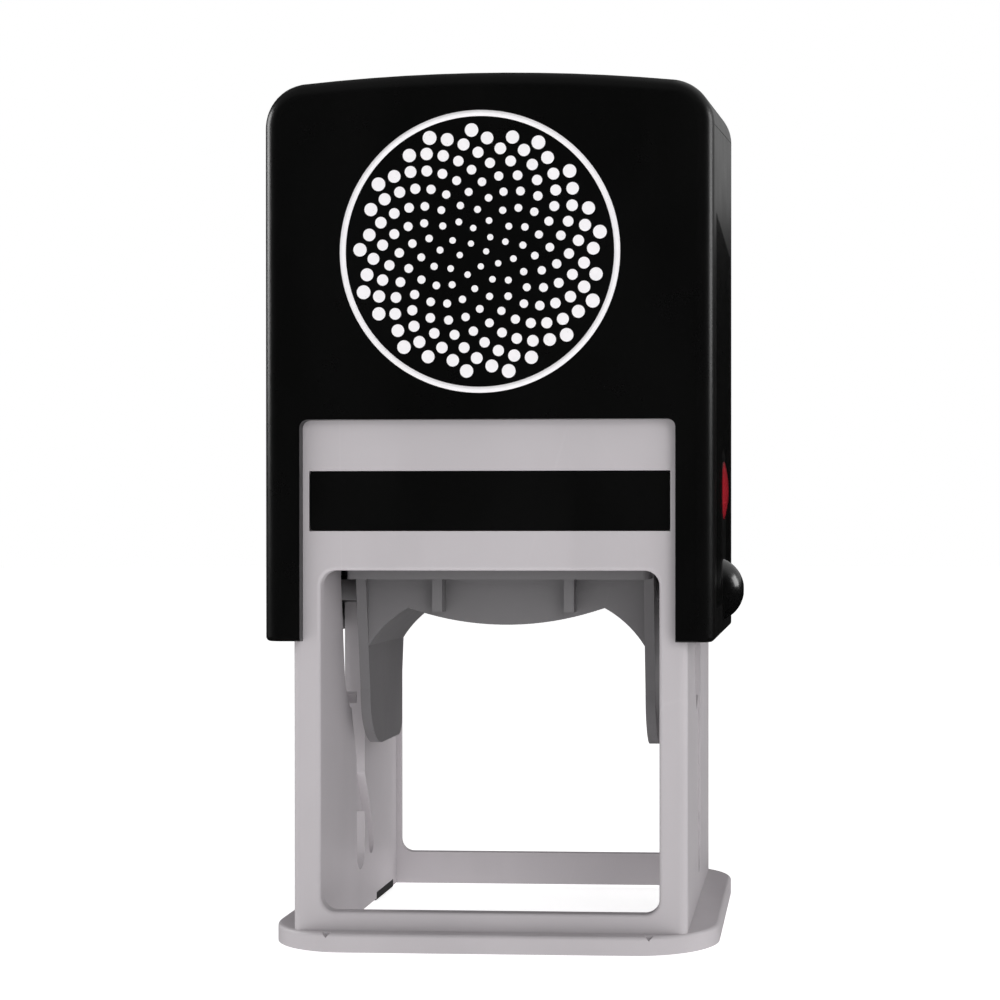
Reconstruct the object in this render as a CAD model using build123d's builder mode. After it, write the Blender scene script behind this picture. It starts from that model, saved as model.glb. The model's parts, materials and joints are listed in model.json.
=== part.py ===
from build123d import *
from math import asin, cos, degrees, pi, sin, sqrt
import os

# A self-inking hand stamp, standing at rest with its cap up.
# Millimetres. +Z is up, -Y is the front, the origin is on the table under the centre.
# The cap slides down the frame against one coil spring. It carries the platen on an axle,
# and two guide pins in S-shaped cam grooves turn the platen over on the way down, from
# facing the ink felt above to facing the paper below.

os.makedirs("parts", exist_ok=True)

# ---------------------------------------------------------------- driving dimensions
# Base frame
frame_width = 53.4
frame_depth = 54.0
frame_corner = 1.2
side_wall = 3.1
end_wall = 2.0
deck = 2.0
flange_reach_x = 3.9
flange_reach_y = 2.4
flange_thickness = 2.5
flange_corner = 11.0
edge_round = 0.5
sill = 5.0
window_height = 46.0
window_jamb = 0.7
window_corner = 2.0
lintel = 5.3
bay_height = 8.1
frame_head = 7.6
notch_from_centre = 21.7
notch_width = 1.1
notch_depth = 0.6

# Rubber feet, let into the underside of the side walls
foot_width = 4.0
foot_length = 12.0
foot_pocket = 1.0
foot_proud = 0.3
foot_from_edge = 2.4

# Ink tray and felt
tray_clearance = 0.1
tray_flange = 1.0
tray_roof = 1.2
tray_face = 1.8
rail_width = 1.9
rail_height = 1.3
felt_recess = 1.2
felt_clearance = 0.2
felt_chamfer = 0.4

# Platen and what it carries
arm_gap = 2.5
arm_thickness = 1.4
arm_half_top = 14.0
arm_half_bottom = 11.0
arm_below_pivot = 22.4
arm_taper_end = 14.0
arm_corner_front = 8.0
arm_corner_rear = 2.5
table_inset = 0.2
table_half_depth = 20.6
table_thickness = 1.6
pivot_to_table = 3.4
beam_half_depth = 12.0
beam_drop = 2.4
belly_drop = 4.8
haunch_width = 5.7
haunch_height = 5.4
rib_from_centre = 9.3
rib_width = 1.4
rib_reach = 3.0
hub_diameter = 9.6
hub_gap = 0.4
plate_thickness = 1.4
lug_spacing = 30.0
lug_width = 4.0
lug_clearance = 0.1
cushion_thickness = 2.0
die_inset = 0.9
die_base = 1.2
die_relief = 1.5
die_dot_pitch = 5.2
die_dot_diameter = 2.4
inking_gap = 0.1

# Axle pins
pin_diameter = 4.0
pin_running_clearance = 0.05
slot_clearance = 0.6
knob_diameter = 8.9
knob_height = 3.0
dimple_diameter = 1.6
dimple_depth = 0.5

# Cam
cam_radius = 7.0
guide_pin_diameter = 3.0
cam_clearance = 0.1
cam_depth = 1.3
relief_front_top = 12.5
relief_front_bottom = 9.8
relief_tip = 6.5
relief_above_pivot = 3.2
relief_shoulder = 13.5
relief_below_pivot = 17.4

# Cap
cap_wall = 1.8
cap_side_gap = 1.8
cap_end_gap = 0.2
cap_corner = 2.4
cap_inner_corner = 1.0
cap_stop_gap = 0.3
cap_cut_margin = 3.3
cap_cut_corner = 1.1
cap_cut_overlap = 0.8
leg_round = 0.6
head_room = 4.75
seat_boss_height = 2.1
seat_boss_diameter = 18.0
post_diameter = 8.0
post_length = 8.2
cap_roof = 1.2
cover_thickness = 3.0
cover_inset = 2.2
cover_skirt = 5.4
skirt_thickness = 1.0
seam_gap = 0.08
top_slope = 0.15
crown_radius = 255.0
top_round = 6.0
seat_round = 5.0
hollow_round = 3.4
guide_rib_width = 2.0
guide_rib_gap = 0.3
guide_rib_from_centre = 16.0
guide_rib_top_margin = 24.0
grip_depth = 0.35
grip_width = 1.5
grip_pitch = 2.0
grip_count = 22
grip_pad_radius = 6.0
grip_bottom = 4.0
grip_top_margin = 22.0

# Index card under the top cover
card_margin_x = 6.5
card_margin_y = 4.6
card_thickness = 0.3
card_clearance = 0.1

# Lock buttons and their leaf springs
lock_above_pivot = 14.5
lock_diameter = 8.4
lock_clearance = 0.2
lock_proud = 0.7
lock_flange_diameter = 11.0
lock_flange = 0.6
lock_flange_gap = 0.05
nose_diameter = 3.6
nose_length = 0.35
lock_groove_width = 6.0
lock_groove_depth = 0.8
lock_groove_bottom = 14.0
leaf_width = 3.0
leaf_half_length = 11.0
leaf_thickness = 0.2
leaf_gap = 0.02

# Return spring
spring_diameter = 13.0
spring_wire = 1.2
spring_turns = 8
cup_wall = 1.6
cup_floor = 1.0
cup_depth = 5.0
cup_clearance = 0.8

# ---------------------------------------------------------------- worked-out dimensions
cavity_x = frame_width / 2 - side_wall
cavity_y = frame_depth / 2 - end_wall
flange_top = foot_proud + flange_thickness
window_x = cavity_x - window_jamb
window_bottom = foot_proud + sill
window_top = window_bottom + window_height
bay_bottom = window_top + lintel
bay_top = bay_bottom + bay_height
frame_top = bay_top + frame_head
deck_bottom = frame_top - deck

arm_outer = cavity_x - arm_gap
arm_inner = arm_outer - arm_thickness
table_x = arm_outer - table_inset
die_half_x = table_x - die_inset
die_half_y = table_half_depth - die_inset
felt_half_x = arm_outer + 2 * felt_clearance
felt_half_y = table_half_depth + die_inset

felt_bottom = bay_bottom + felt_recess
tray_top = bay_top - tray_clearance
felt_top = tray_top - tray_roof
die_reach = pivot_to_table + plate_thickness + cushion_thickness + die_base + die_relief
pivot_up = felt_bottom - inking_gap - die_reach
pivot_down = die_reach
stroke = pivot_up - pivot_down
table_top = pivot_up + pivot_to_table

cap_inner_x = frame_width / 2 + cap_side_gap
cap_inner_y = frame_depth / 2 + cap_end_gap
cap_x = cap_inner_x + cap_wall
cap_y = cap_inner_y + cap_wall
cap_bottom = flange_top + cap_stop_gap + stroke
cap_cut_x = cap_inner_x - cap_cut_margin
cap_cut_top = frame_top - cap_cut_overlap
seat_height = frame_top + stroke + head_room
crest = seat_height + seat_boss_height + cap_roof + cover_thickness
cover_half_depth = cap_y - cover_inset
lock_height = pivot_up + lock_above_pivot
cup_floor_top = frame_top - cup_depth

SIDES = {"left": -1, "right": 1}
wide = 8.0


def save(piece, name):
    """Label one finished piece and write it to its own STEP file."""
    piece.label = name
    export_step(piece, f"parts/{name}.step")


def sagitta(radius, half_chord):
    """Height of an arc over its chord."""
    return radius - sqrt(radius**2 - half_chord**2)


def dome_middle(rise, half_width):
    """The point half way along a dome's profile: height over its base, distance from its axis."""
    radius = (half_width**2 + rise**2) / (2 * rise)
    angle = asin(half_width / radius) / 2
    return rise - sagitta(radius, radius * sin(angle)), radius * sin(angle)


# ---------------------------------------------------------------- base frame
def cam_centre(turn):
    """Where the guide pin's centre is, as (Y, Z), when the platen has turned by turn radians."""
    return (
        -cam_radius * cos(turn),
        pivot_up - stroke * turn / pi - cam_radius * sin(turn),
    )


def cam_edge(turn, side):
    """A point on one edge of the cam groove, half its width to one side of the path."""
    y, z = cam_centre(turn)
    run_y = cam_radius * sin(turn)
    run_z = -stroke / pi - cam_radius * cos(turn)
    half = guide_pin_diameter / 2 + cam_clearance
    scale = side * half / sqrt(run_y**2 + run_z**2)
    return (y - run_z * scale, z + run_y * scale)


cam_turns = [pi * step / 8 for step in range(9)]
cam_cap = guide_pin_diameter / 2 + cam_clearance
axle_slot_width = pin_diameter + 2 * slot_clearance
tray_x = cavity_x - 3 * tray_clearance
tray_face_x = tray_x + tray_flange

with BuildPart() as base_frame:
    with BuildSketch(Plane.XY.offset(foot_proud)):
        RectangleRounded(
            frame_width + 2 * flange_reach_x, frame_depth + 2 * flange_reach_y, flange_corner
        )
    extrude(amount=flange_thickness)
    fillet(base_frame.faces().sort_by(Axis.Z)[-1].edges(), edge_round)
    with BuildSketch(Plane.XY.offset(foot_proud)):
        RectangleRounded(frame_width, frame_depth, frame_corner)
    extrude(amount=frame_top - foot_proud)
    fillet(base_frame.faces().sort_by(Axis.Z)[-1].edges(), edge_round)

    # The hollow that the platen works in, open at the bottom
    with BuildSketch(Plane.XY.offset(foot_proud)):
        Rectangle(2 * cavity_x, 2 * cavity_y)
    extrude(amount=deck_bottom - foot_proud, mode=Mode.SUBTRACT)

    # Windows in the front and rear walls, with eased outer edges
    with BuildSketch(Plane.XZ):
        with Locations((0, window_bottom + window_height / 2)):
            RectangleRounded(2 * window_x, window_height, window_corner)
    extrude(amount=frame_depth, both=True, mode=Mode.SUBTRACT)
    window_rims = [
        edge
        for edge in base_frame.edges()
        if abs(abs(edge.center().Y) - frame_depth / 2) < 0.01
        and abs(edge.center().X) < window_x + 0.01
        and window_bottom - 0.01 < edge.center().Z < window_top + 0.01
    ]
    fillet(window_rims, edge_round)

    # Ink bay: a wide mouth in the front wall, a body-width one in the rear wall
    with BuildSketch(Plane.XZ.offset(frame_depth / 2)):
        with Locations((0, bay_bottom + bay_height / 2)):
            Rectangle(2 * (tray_face_x + tray_clearance), bay_height)
    extrude(amount=-end_wall, mode=Mode.SUBTRACT)
    with BuildSketch(Plane.XZ.offset(-frame_depth / 2)):
        with Locations((0, bay_bottom + bay_height / 2)):
            Rectangle(2 * (tray_x + tray_clearance), bay_height)
    extrude(amount=end_wall, mode=Mode.SUBTRACT)

    # Rails under and over the tray's sides
    with BuildSketch(Plane.XZ):
        for side in SIDES.values():
            with Locations(
                (side * (cavity_x - rail_width / 2), bay_bottom - rail_height / 2),
                (side * (cavity_x - rail_width / 2), bay_top + rail_height / 2),
            ):
                Rectangle(rail_width, rail_height)
    extrude(amount=cavity_y, both=True)

    # Cup for the foot of the return spring, hanging from the deck
    with BuildSketch(Plane.XY.offset(cup_floor_top - cup_floor)):
        Circle(spring_diameter / 2 + spring_wire / 2 + cup_clearance + cup_wall)
    extrude(amount=frame_top - cup_floor_top + cup_floor)
    with BuildSketch(Plane.XY.offset(cup_floor_top)):
        Circle(spring_diameter / 2 + spring_wire / 2 + cup_clearance)
    extrude(amount=cup_depth, mode=Mode.SUBTRACT)

    # Straight slot for the axle, through both side walls
    with BuildSketch(Plane.YZ):
        with Locations((0, (pivot_up + pivot_down) / 2)):
            SlotCenterToCenter(stroke + slot_clearance, axle_slot_width, rotation=90)
    extrude(amount=frame_width, both=True, mode=Mode.SUBTRACT)

    # Tapered relief beside the top of that slot, through both side walls
    with BuildSketch(Plane.YZ):
        with BuildLine():
            Polyline(
                (0, pivot_up + relief_above_pivot),
                (-relief_front_top, pivot_up + relief_above_pivot),
                (-relief_front_bottom, pivot_up - relief_shoulder),
                (-relief_tip, pivot_up - relief_below_pivot),
                (0, pivot_up - relief_shoulder),
                close=True,
            )
        relief = make_face()
        fillet(relief.vertices().sort_by(Axis.X)[0:3], 1.0)
    extrude(amount=frame_width, both=True, mode=Mode.SUBTRACT)

    for side in SIDES.values():
        # S-shaped cam groove, let into the inner face of the side wall
        with BuildSketch(Plane.YZ.offset(side * cavity_x)):
            with BuildLine():
                front_edge = Spline([cam_edge(turn, -1) for turn in cam_turns])
                rear_edge = Spline([cam_edge(turn, 1) for turn in cam_turns])
                top_y, top_z = cam_centre(0)
                ThreePointArc(front_edge @ 0, (top_y, top_z + cam_cap), rear_edge @ 0)
                foot_y, foot_z = cam_centre(pi)
                ThreePointArc(front_edge @ 1, (foot_y, foot_z - cam_cap), rear_edge @ 1)
            make_face()
        extrude(amount=side * cam_depth, mode=Mode.SUBTRACT)
        # Shallow outer groove that the lock button's nose runs in
        with BuildSketch(Plane.YZ.offset(side * frame_width / 2)):
            with Locations((0, (lock_groove_bottom + frame_top) / 2)):
                Rectangle(lock_groove_width, frame_top - lock_groove_bottom)
        extrude(amount=-side * lock_groove_depth, mode=Mode.SUBTRACT)

    # Pockets for the feet
    with BuildSketch(Plane.XY.offset(foot_proud)):
        foot_x = cavity_x + foot_width / 2
        foot_y = cavity_y - foot_from_edge - foot_length / 2
        with GridLocations(2 * foot_x, 2 * foot_y, 2, 2):
            Rectangle(foot_width, foot_length)
    extrude(amount=foot_pocket, mode=Mode.SUBTRACT)

    # Positioning notches in the top edge of the flange, front and rear
    for face in (-1, 1):
        with BuildSketch(Plane.XZ.offset(face * (frame_depth / 2 + flange_reach_y))):
            with Locations((-notch_from_centre, flange_top), (notch_from_centre, flange_top)):
                Polygon(
                    (-notch_width / 2, 0),
                    (notch_width / 2, 0),
                    (0, -notch_depth),
                    align=None,
                )
        extrude(amount=-face * flange_reach_y / 2, mode=Mode.SUBTRACT)
save(base_frame.part, "base_frame")

# ---------------------------------------------------------------- rubber feet
for side_name, side in SIDES.items():
    for end_name, end in {"front": -1, "rear": 1}.items():
        with BuildPart() as foot:
            with BuildSketch():
                with Locations((side * foot_x, end * foot_y)):
                    Rectangle(foot_width, foot_length)
            extrude(amount=foot_proud + foot_pocket)
            chamfer(foot.faces().sort_by(Axis.Z)[0].edges(), foot_proud / 2)
        save(foot.part, f"foot_{end_name}_{side_name}")

# ---------------------------------------------------------------- ink tray
tray_bottom = bay_bottom + tray_clearance
face_back = -frame_depth / 2 + tray_face
with BuildPart() as ink_tray:
    with BuildSketch(Plane.XZ.offset(frame_depth / 2)):
        with Locations((0, (tray_bottom + tray_top) / 2)):
            RectangleRounded(2 * tray_face_x, tray_top - tray_bottom, edge_round)
    extrude(amount=-tray_face)
    with BuildSketch(Plane.XZ.offset(-face_back)):
        with Locations((0, (tray_bottom + tray_top) / 2)):
            Rectangle(2 * tray_x, tray_top - tray_bottom)
    extrude(amount=-(frame_depth / 2 - face_back))
    with BuildSketch(Plane.XY.offset(tray_bottom)):
        Rectangle(2 * felt_half_x, 2 * felt_half_y)
    extrude(amount=felt_top - tray_bottom, mode=Mode.SUBTRACT)
    # Finger groove across the rear end, to push the tray out from behind
    with BuildSketch(Plane.YZ):
        with Locations((frame_depth / 2, (tray_bottom + tray_top) / 2)):
            Circle(bay_height / 4)
    extrude(amount=felt_half_x / 2, both=True, mode=Mode.SUBTRACT)
save(ink_tray.part, "ink_tray")

with BuildPart() as ink_felt:
    with BuildSketch(Plane.XY.offset(felt_bottom)):
        Rectangle(2 * (felt_half_x - felt_clearance), 2 * (felt_half_y - felt_clearance))
    extrude(amount=felt_top - felt_bottom)
    chamfer(ink_felt.faces().sort_by(Axis.Z)[0].edges(), felt_chamfer)
save(ink_felt.part, "ink_felt")

# ---------------------------------------------------------------- return spring
spring_foot = cup_floor_top + spring_wire / 2 + leaf_gap
spring_head = seat_height - spring_wire / 2 - leaf_gap
with BuildPart() as return_spring:
    with BuildLine(Plane.XY.offset(spring_foot)) as coil:
        Helix(
            pitch=(spring_head - spring_foot) / spring_turns,
            height=spring_head - spring_foot,
            radius=spring_diameter / 2,
        )
    with BuildSketch(Plane(origin=coil.line @ 0, z_dir=coil.line % 0)):
        Circle(spring_wire / 2)
    sweep(path=coil.line, is_frenet=True)
save(return_spring.part, "return_spring")

# ---------------------------------------------------------------- platen
hub_outer = cavity_x - hub_gap
with BuildPart() as platen:
    # Table under the die plate
    with BuildSketch(Plane.XY.offset(table_top - table_thickness)):
        RectangleRounded(2 * table_x, 2 * table_half_depth, 1.0)
    extrude(amount=table_thickness)

    # Cross beam with a bellied underside and haunches down to the arms
    beam_z = pivot_up - beam_drop
    haunch_x = arm_inner - haunch_width
    with BuildSketch(Plane.XZ) as beam:
        with BuildLine():
            ThreePointArc((-haunch_x, beam_z), (0, pivot_up - belly_drop), (haunch_x, beam_z))
            for side in SIDES.values():
                haunch = ThreePointArc(
                    (side * haunch_x, beam_z),
                    (side * (haunch_x + haunch_width * 0.55), beam_z - haunch_height * 0.42),
                    (side * arm_inner, beam_z - haunch_height),
                )
                Line(haunch @ 1, (side * arm_inner, table_top - table_thickness))
            Line(
                (-arm_inner, table_top - table_thickness),
                (arm_inner, table_top - table_thickness),
            )
        make_face()
    extrude(amount=beam_half_depth, both=True)

    # Stiffening ribs that stand out of the beam's front and rear faces
    for side in SIDES.values():
        with BuildSketch(Plane.XZ):
            with Locations((side * rib_from_centre, (beam_z + table_top - table_thickness) / 2)):
                Rectangle(rib_width, table_top - table_thickness - beam_z + 1.0)
        extrude(amount=beam_half_depth + rib_reach, both=True)

    # Side arms: tapered tongues with rounded lower corners, hubs and guide pins
    for side in SIDES.values():
        with BuildSketch(Plane.YZ.offset(side * arm_inner)) as tongue:
            with BuildLine():
                Polyline(
                    (-arm_half_top, table_top - table_thickness / 2),
                    (-arm_half_bottom, pivot_up - arm_taper_end),
                    (-arm_half_bottom, pivot_up - arm_below_pivot),
                    (arm_half_bottom, pivot_up - arm_below_pivot),
                    (arm_half_bottom, pivot_up - arm_taper_end),
                    (arm_half_top, table_top - table_thickness / 2),
                    close=True,
                )
            make_face()
            fillet(tongue.vertices().sort_by(Axis.Y)[0:2].sort_by(Axis.X)[0], arm_corner_front)
            fillet(tongue.vertices().sort_by(Axis.Y)[0:2].sort_by(Axis.X)[-1], arm_corner_rear)
        extrude(amount=side * arm_thickness)
        with BuildSketch(Plane.YZ.offset(side * arm_outer)):
            with Locations((0, pivot_up)):
                Circle(hub_diameter / 2)
        extrude(amount=side * (hub_outer - arm_outer))
        with BuildSketch(Plane.YZ.offset(side * arm_outer)):
            with Locations(cam_centre(0)):
                Circle(guide_pin_diameter / 2)
        extrude(amount=side * (arm_gap + cam_depth - cam_clearance))

    # Bores for the axle pins
    bore_depth = hub_outer - arm_inner
    for side in SIDES.values():
        with BuildSketch(Plane.YZ.offset(side * hub_outer)):
            with Locations((0, pivot_up)):
                Circle(pin_diameter / 2 + pin_running_clearance)
        extrude(amount=-side * (bore_depth + pin_diameter / 2), mode=Mode.SUBTRACT)

    # Sockets for the die plate's lugs
    with BuildSketch(Plane.XY.offset(table_top)):
        with GridLocations(lug_spacing, lug_spacing, 2, 2):
            Rectangle(lug_width + 2 * lug_clearance, lug_width / 2 + 2 * lug_clearance)
    extrude(amount=-table_thickness, mode=Mode.SUBTRACT)
save(platen.part, "platen")

# ---------------------------------------------------------------- die plate, cushion, die
plate_top = table_top + plate_thickness
cushion_top = plate_top + cushion_thickness
with BuildPart() as die_plate:
    with BuildSketch(Plane.XY.offset(table_top)):
        RectangleRounded(2 * table_x, 2 * table_half_depth, 1.0)
    extrude(amount=plate_thickness)
    with BuildSketch(Plane.XY.offset(table_top)):
        with GridLocations(lug_spacing, lug_spacing, 2, 2):
            Rectangle(lug_width, lug_width / 2)
    extrude(amount=-(table_thickness - lug_clearance))
save(die_plate.part, "die_plate")

with BuildPart() as die_cushion:
    with BuildSketch(Plane.XY.offset(plate_top)):
        RectangleRounded(2 * die_half_x, 2 * die_half_y, 1.0)
    extrude(amount=cushion_thickness)
save(die_cushion.part, "die_cushion")

die_face_radius = min(die_half_x, die_half_y) - 1.0
with BuildPart() as rubber_die:
    with BuildSketch(Plane.XY.offset(cushion_top)):
        RectangleRounded(2 * die_half_x, 2 * die_half_y, 1.0)
    extrude(amount=die_base)
    # Raised printing face: a ring round a square field of dots
    with BuildSketch(Plane.XY.offset(cushion_top + die_base)):
        Circle(die_face_radius)
        Circle(die_face_radius - 1.6, mode=Mode.SUBTRACT)
        with GridLocations(die_dot_pitch, die_dot_pitch, 5, 5):
            Circle(die_dot_diameter / 2)
    extrude(amount=die_relief)
save(rubber_die.part, "rubber_die")


# ---------------------------------------------------------------- cap
def under_vault(drop):
    """Everything below the cap's top, which slopes up to the rear and is slightly crowned."""
    half = cap_y + 6.0
    crown = crown_radius - drop
    floor = crown_radius - crest
    tilt = asin((cap_x + wide) / floor)
    start = Plane(
        origin=(0, 0, crest - crown_radius),
        x_dir=(0, 1, 0),
        z_dir=(cos(tilt), 0, sin(tilt)),
    )
    rise = top_slope * half
    with BuildPart() as block:
        with BuildSketch(start):
            with BuildLine():
                Polyline(
                    (-half, crown - rise), (half, crown + rise), (half, floor), (-half, floor), close=True
                )
            make_face()
        revolve(
            axis=Axis((0, 0, crest - crown_radius), (0, 1, 0)),
            revolution_arc=2 * degrees(tilt),
        )
    return block.part


def shouldered(half_x, half_y, drop, radius):
    """A block under the lowered top, with its two long upper edges rounded."""
    with BuildPart() as block:
        with BuildSketch(Plane.XY.offset(cap_bottom)):
            Rectangle(2 * half_x, 2 * half_y)
        extrude(amount=crest + wide - cap_bottom)
        add(under_vault(drop), mode=Mode.INTERSECT)
        long_edges = block.faces().sort_by(Axis.Z)[-1].edges().sort_by(Axis.X)
        fillet([long_edges[0], long_edges[-1]], radius)
    return block.part


with BuildPart() as cap_form:
    add(shouldered(cap_x, cap_y, 0, top_round))
    for end_face in (cap_form.faces().sort_by(Axis.Y)[0], cap_form.faces().sort_by(Axis.Y)[-1]):
        fillet(end_face.edges().sort_by(Axis.Z)[1:], cap_corner)
    fillet(cap_form.faces().sort_by(Axis.Z)[0].edges(), leg_round)

with BuildPart() as cover_space:
    with BuildSketch(Plane.XY.offset(cap_bottom)):
        Rectangle(2 * cap_x + wide, 2 * cover_half_depth)
    extrude(amount=crest + wide - cap_bottom)
    add(under_vault(cover_skirt), mode=Mode.SUBTRACT)
    add(shouldered(cap_x - skirt_thickness, cap_y, cover_thickness, seat_round), mode=Mode.SUBTRACT)

with BuildPart() as cap_hollow:
    with BuildSketch(Plane.XY.offset(cap_bottom)):
        RectangleRounded(2 * cap_inner_x, 2 * cap_inner_y, cap_inner_corner)
    extrude(amount=crest - cap_bottom)
    add(
        shouldered(cap_inner_x, cap_y, cover_thickness + cap_roof, hollow_round),
        mode=Mode.INTERSECT,
    )

with BuildPart() as seat_boss:
    with BuildSketch(Plane.XY.offset(seat_height)):
        Circle(seat_boss_diameter / 2)
    extrude(amount=crest - seat_height)
    add(under_vault(cover_thickness + cap_roof / 2), mode=Mode.INTERSECT)

with BuildPart() as cap_shell:
    add(cap_form.part)
    add(cover_space.part, mode=Mode.SUBTRACT)
    add(cap_hollow.part, mode=Mode.SUBTRACT)

    # Cut-outs in the front and rear walls, which leave a leg at each corner
    with BuildSketch(Plane.XZ):
        with Locations((0, cap_cut_top)):
            RectangleRounded(
                2 * cap_cut_x,
                2 * (cap_cut_top - cap_bottom + 2.0),
                cap_cut_corner,
                align=(Align.CENTER, Align.MAX),
            )
    extrude(amount=cap_y + 1.0, both=True, mode=Mode.SUBTRACT)

    # Spring seat and guide post under the roof
    add(seat_boss.part)
    with BuildSketch(Plane.XY.offset(seat_height - post_length)):
        Circle(post_diameter / 2)
    extrude(amount=post_length)

    # Guide ribs inside the side walls
    rib_depth = cap_side_gap - guide_rib_gap
    rib_bottom = cap_bottom + 1.5
    rib_top = crest - guide_rib_top_margin
    with BuildSketch(Plane.XY.offset(rib_bottom)):
        for side in SIDES.values():
            with Locations(
                (side * (cap_inner_x - rib_depth / 2), -guide_rib_from_centre),
                (side * (cap_inner_x - rib_depth / 2), guide_rib_from_centre),
            ):
                Rectangle(rib_depth, guide_rib_width)
    extrude(amount=rib_top - rib_bottom)

    # Fine upright grip grooves outside, round a plain pad for the axle and the button
    grip_top = crest - grip_top_margin
    grip_low = cap_bottom + grip_bottom
    for side in SIDES.values():
        with BuildSketch(Plane.YZ.offset(side * cap_x)):
            with Locations((0, (grip_low + grip_top) / 2)):
                with GridLocations(grip_pitch, 1.0, grip_count, 1):
                    SlotOverall(grip_top - grip_low, grip_width, rotation=90)
            with Locations((0, (pivot_up + lock_height) / 2)):
                SlotCenterToCenter(
                    lock_height - pivot_up, 2 * grip_pad_radius, rotation=90, mode=Mode.SUBTRACT
                )
        extrude(amount=-side * grip_depth, mode=Mode.SUBTRACT)

    # Holes for the axle pins and the lock buttons
    with BuildSketch(Plane.YZ):
        with Locations((0, pivot_up)):
            Circle(pin_diameter / 2)
        with Locations((0, lock_height)):
            Circle(lock_diameter / 2 + lock_clearance)
    extrude(amount=cap_x + 1.0, both=True, mode=Mode.SUBTRACT)
save(cap_shell.part, "cap_shell")

# ---------------------------------------------------------------- top cover and index card
card_x = cap_x - card_margin_x
card_y = cover_half_depth - card_margin_y
with BuildPart() as card_pocket:
    with BuildSketch(Plane.XY.offset(cap_bottom)):
        Rectangle(2 * (card_x + card_clearance), 2 * (card_y + card_clearance))
    extrude(amount=crest - cap_bottom)
    add(
        under_vault(cover_thickness - card_thickness - card_clearance), mode=Mode.INTERSECT
    )

with BuildPart() as top_cover:
    with BuildSketch(Plane.XY.offset(cap_bottom)):
        Rectangle(2 * cap_x + wide, 2 * (cover_half_depth - seam_gap))
    extrude(amount=crest + wide - cap_bottom)
    add(under_vault(cover_skirt - seam_gap), mode=Mode.SUBTRACT)
    add(
        shouldered(
            cap_x - skirt_thickness + seam_gap, cap_y, cover_thickness - seam_gap, seat_round
        ),
        mode=Mode.SUBTRACT,
    )
    add(cap_form.part, mode=Mode.INTERSECT)
    add(card_pocket.part, mode=Mode.SUBTRACT)
save(top_cover.part, "top_cover")

with BuildPart() as index_card:
    with BuildSketch(Plane.XY.offset(cap_bottom)):
        Rectangle(2 * card_x, 2 * card_y)
    extrude(amount=crest - cap_bottom)
    add(under_vault(cover_thickness - card_thickness), mode=Mode.INTERSECT)
    add(under_vault(cover_thickness), mode=Mode.SUBTRACT)
save(index_card.part, "index_card")

# ---------------------------------------------------------------- axle pins
pin_end = arm_inner + 0.2
dome_x, dome_z = dome_middle(knob_height, knob_diameter / 2)
for side_name, side in SIDES.items():
    with BuildPart() as axle_pin:
        with BuildSketch(Plane.XZ):
            with BuildLine():
                Polyline(
                    (side * (cap_x + knob_height), pivot_up),
                    (side * pin_end, pivot_up),
                    (side * pin_end, pivot_up + pin_diameter / 2),
                    (side * cap_x, pivot_up + pin_diameter / 2),
                    (side * cap_x, pivot_up + knob_diameter / 2),
                )
                ThreePointArc(
                    (side * cap_x, pivot_up + knob_diameter / 2),
                    (side * (cap_x + dome_x), pivot_up + dome_z),
                    (side * (cap_x + knob_height), pivot_up),
                )
            make_face()
        revolve(axis=Axis((0, 0, pivot_up), (1, 0, 0)))
        # Moulding dimple at the tip
        with BuildSketch(Plane.YZ.offset(side * (cap_x + knob_height))):
            with Locations((0, pivot_up)):
                Circle(dimple_diameter / 2)
        extrude(amount=-side * dimple_depth, mode=Mode.SUBTRACT)
    save(axle_pin.part, f"axle_pin_{side_name}")

# ---------------------------------------------------------------- lock buttons
flange_outer = cap_inner_x - lock_flange_gap
nose_end = flange_outer - lock_flange - nose_length
button_edge = 0.1
dome_x, dome_z = dome_middle(lock_proud - button_edge, lock_diameter / 2)
for side_name, side in SIDES.items():
    with BuildPart() as lock_button:
        with BuildSketch(Plane.XZ):
            with BuildLine():
                Polyline(
                    (side * (cap_x + lock_proud), lock_height),
                    (side * nose_end, lock_height),
                    (side * nose_end, lock_height + nose_diameter / 2),
                    (side * (flange_outer - lock_flange), lock_height + nose_diameter / 2),
                    (side * (flange_outer - lock_flange), lock_height + lock_flange_diameter / 2),
                    (side * flange_outer, lock_height + lock_flange_diameter / 2),
                    (side * flange_outer, lock_height + lock_diameter / 2),
                    (side * (cap_x + button_edge), lock_height + lock_diameter / 2),
                )
                ThreePointArc(
                    (side * (cap_x + button_edge), lock_height + lock_diameter / 2),
                    (side * (cap_x + button_edge + dome_x), lock_height + dome_z),
                    (side * (cap_x + lock_proud), lock_height),
                )
            make_face()
        revolve(axis=Axis((0, 0, lock_height), (1, 0, 0)))
    save(lock_button.part, f"lock_button_{side_name}")

    # Bowed leaf spring between the button's nose and the cap's inner wall
    crown_x = nose_end - leaf_gap
    end_x = cap_inner_x - leaf_gap
    with BuildPart() as lock_spring:
        with BuildSketch(Plane.XZ):
            with BuildLine():
                outer = ThreePointArc(
                    (side * end_x, lock_height - leaf_half_length),
                    (side * crown_x, lock_height),
                    (side * end_x, lock_height + leaf_half_length),
                )
                inner = ThreePointArc(
                    (side * (end_x - leaf_thickness), lock_height - leaf_half_length),
                    (side * (crown_x - leaf_thickness), lock_height),
                    (side * (end_x - leaf_thickness), lock_height + leaf_half_length),
                )
                Line(outer @ 0, inner @ 0)
                Line(outer @ 1, inner @ 1)
            make_face()
        extrude(amount=leaf_width / 2, both=True)
    save(lock_spring.part, f"lock_spring_{side_name}")

print("stroke", round(stroke, 2), "pivot", round(pivot_up, 2), "crest", round(crest, 2))
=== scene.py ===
"""The looks of a self-inking hand stamp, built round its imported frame."""

import json
import math

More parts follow.
